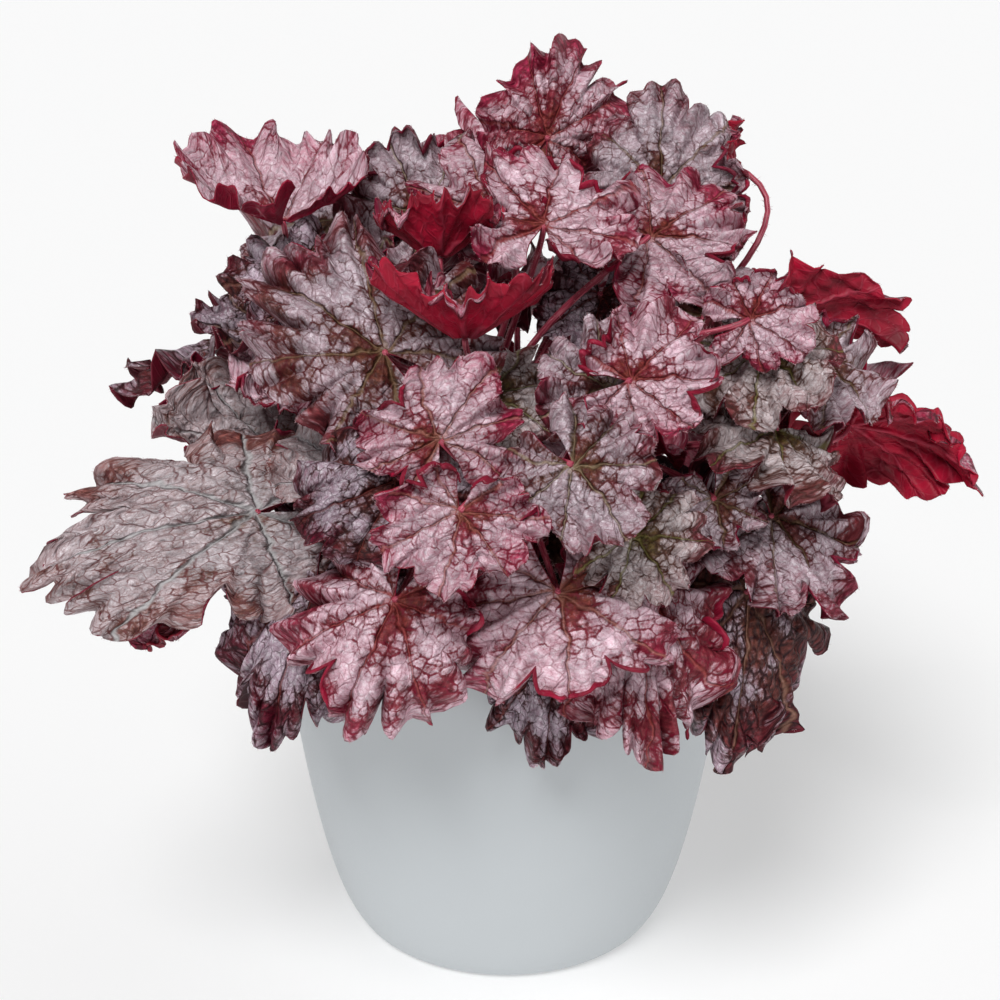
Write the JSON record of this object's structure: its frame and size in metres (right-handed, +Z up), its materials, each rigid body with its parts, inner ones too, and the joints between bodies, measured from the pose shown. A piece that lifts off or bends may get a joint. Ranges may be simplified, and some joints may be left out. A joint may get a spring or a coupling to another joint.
{
  "type": "heuchera plant",
  "caption": "Mound of lobed, ruffled silver, pink and maroon leaves on slim petioles, with crimson undersides, in a nursery pot inside a plain white tapered cover pot",
  "frame": {"origin": "middle of the cover pot's base, on the surface it stands on", "axes": "+Z up along the pot axis; -Y is the front, with the fullest leaves; +X is to the right seen from the front"},
  "size_m": [0.3555, 0.3008, 0.3494],
  "materials": {
    "cover_pot": "matte white",
    "nursery_pot": "satin black",
    "soil": "crumbly, damp",
    "rootstock": "rough",
    "leaf_cream": "satin, quilted between the veins",
    "leaf_pink": "satin, quilted between the veins",
    "leaf_silver": "satin, quilted between the veins",
    "leaf_olive": "satin, quilted between the veins",
    "leaf_maroon": "satin, quilted between the veins",
    "leaf_crimson": "satin, quilted between the veins"
  },
  "bodies": {
    "root": {"cover_pot": "cover_pot", "nursery_pot": "nursery_pot", "potting_soil": "soil", "crown": "rootstock", "leaves_01_11": "leaf_cream", "leaf_02": "leaf_pink", "leaves_03_15_30": "leaf_silver", "leaf_04": "leaf_pink", "leaf_05": "leaf_silver", "leaves_06_13": "leaf_pink", "leaf_07": "leaf_pink", "leaves_08_09_10": "leaf_pink", "leaf_12": "leaf_olive", "leaf_14": "leaf_pink", "leaf_16": "leaf_cream", "leaves_17_18_34": "leaf_pink", "leaf_19": "leaf_maroon", "leaf_20": "leaf_maroon", "leaf_21": "leaf_crimson", "leaf_22": "leaf_silver", "leaf_23": "leaf_silver", "leaf_24": "leaf_olive", "leaves_25_41": "leaf_olive", "leaf_26": "leaf_pink", "leaf_27": "leaf_crimson", "leaf_28": "leaf_crimson", "leaf_29": "leaf_silver", "leaves_31_35": "leaf_crimson", "leaf_32": "leaf_pink", "leaves_33_57_59": "leaf_silver", "leaf_36": "leaf_pink", "leaf_37": "leaf_silver", "leaf_38": "leaf_crimson", "leaf_39": "leaf_pink", "leaf_40": "leaf_pink", "leaf_42": "leaf_maroon", "leaf_43": "leaf_olive", "leaf_44": "leaf_maroon", "leaf_45": "leaf_silver", "leaf_46": "leaf_pink", "leaf_47": "leaf_maroon", "leaf_48": "leaf_silver", "leaf_49": "leaf_pink", "leaf_50": "leaf_maroon", "leaf_51": "leaf_silver", "leaf_52": "leaf_pink", "leaf_53": "leaf_maroon", "leaf_54": "leaf_silver", "leaf_55": "leaf_pink", "leaf_56": "leaf_maroon", "leaf_58": "leaf_pink", "leaf_60": "leaf_silver", "leaf_61": "leaf_pink"}
  },
  "joints": []
}
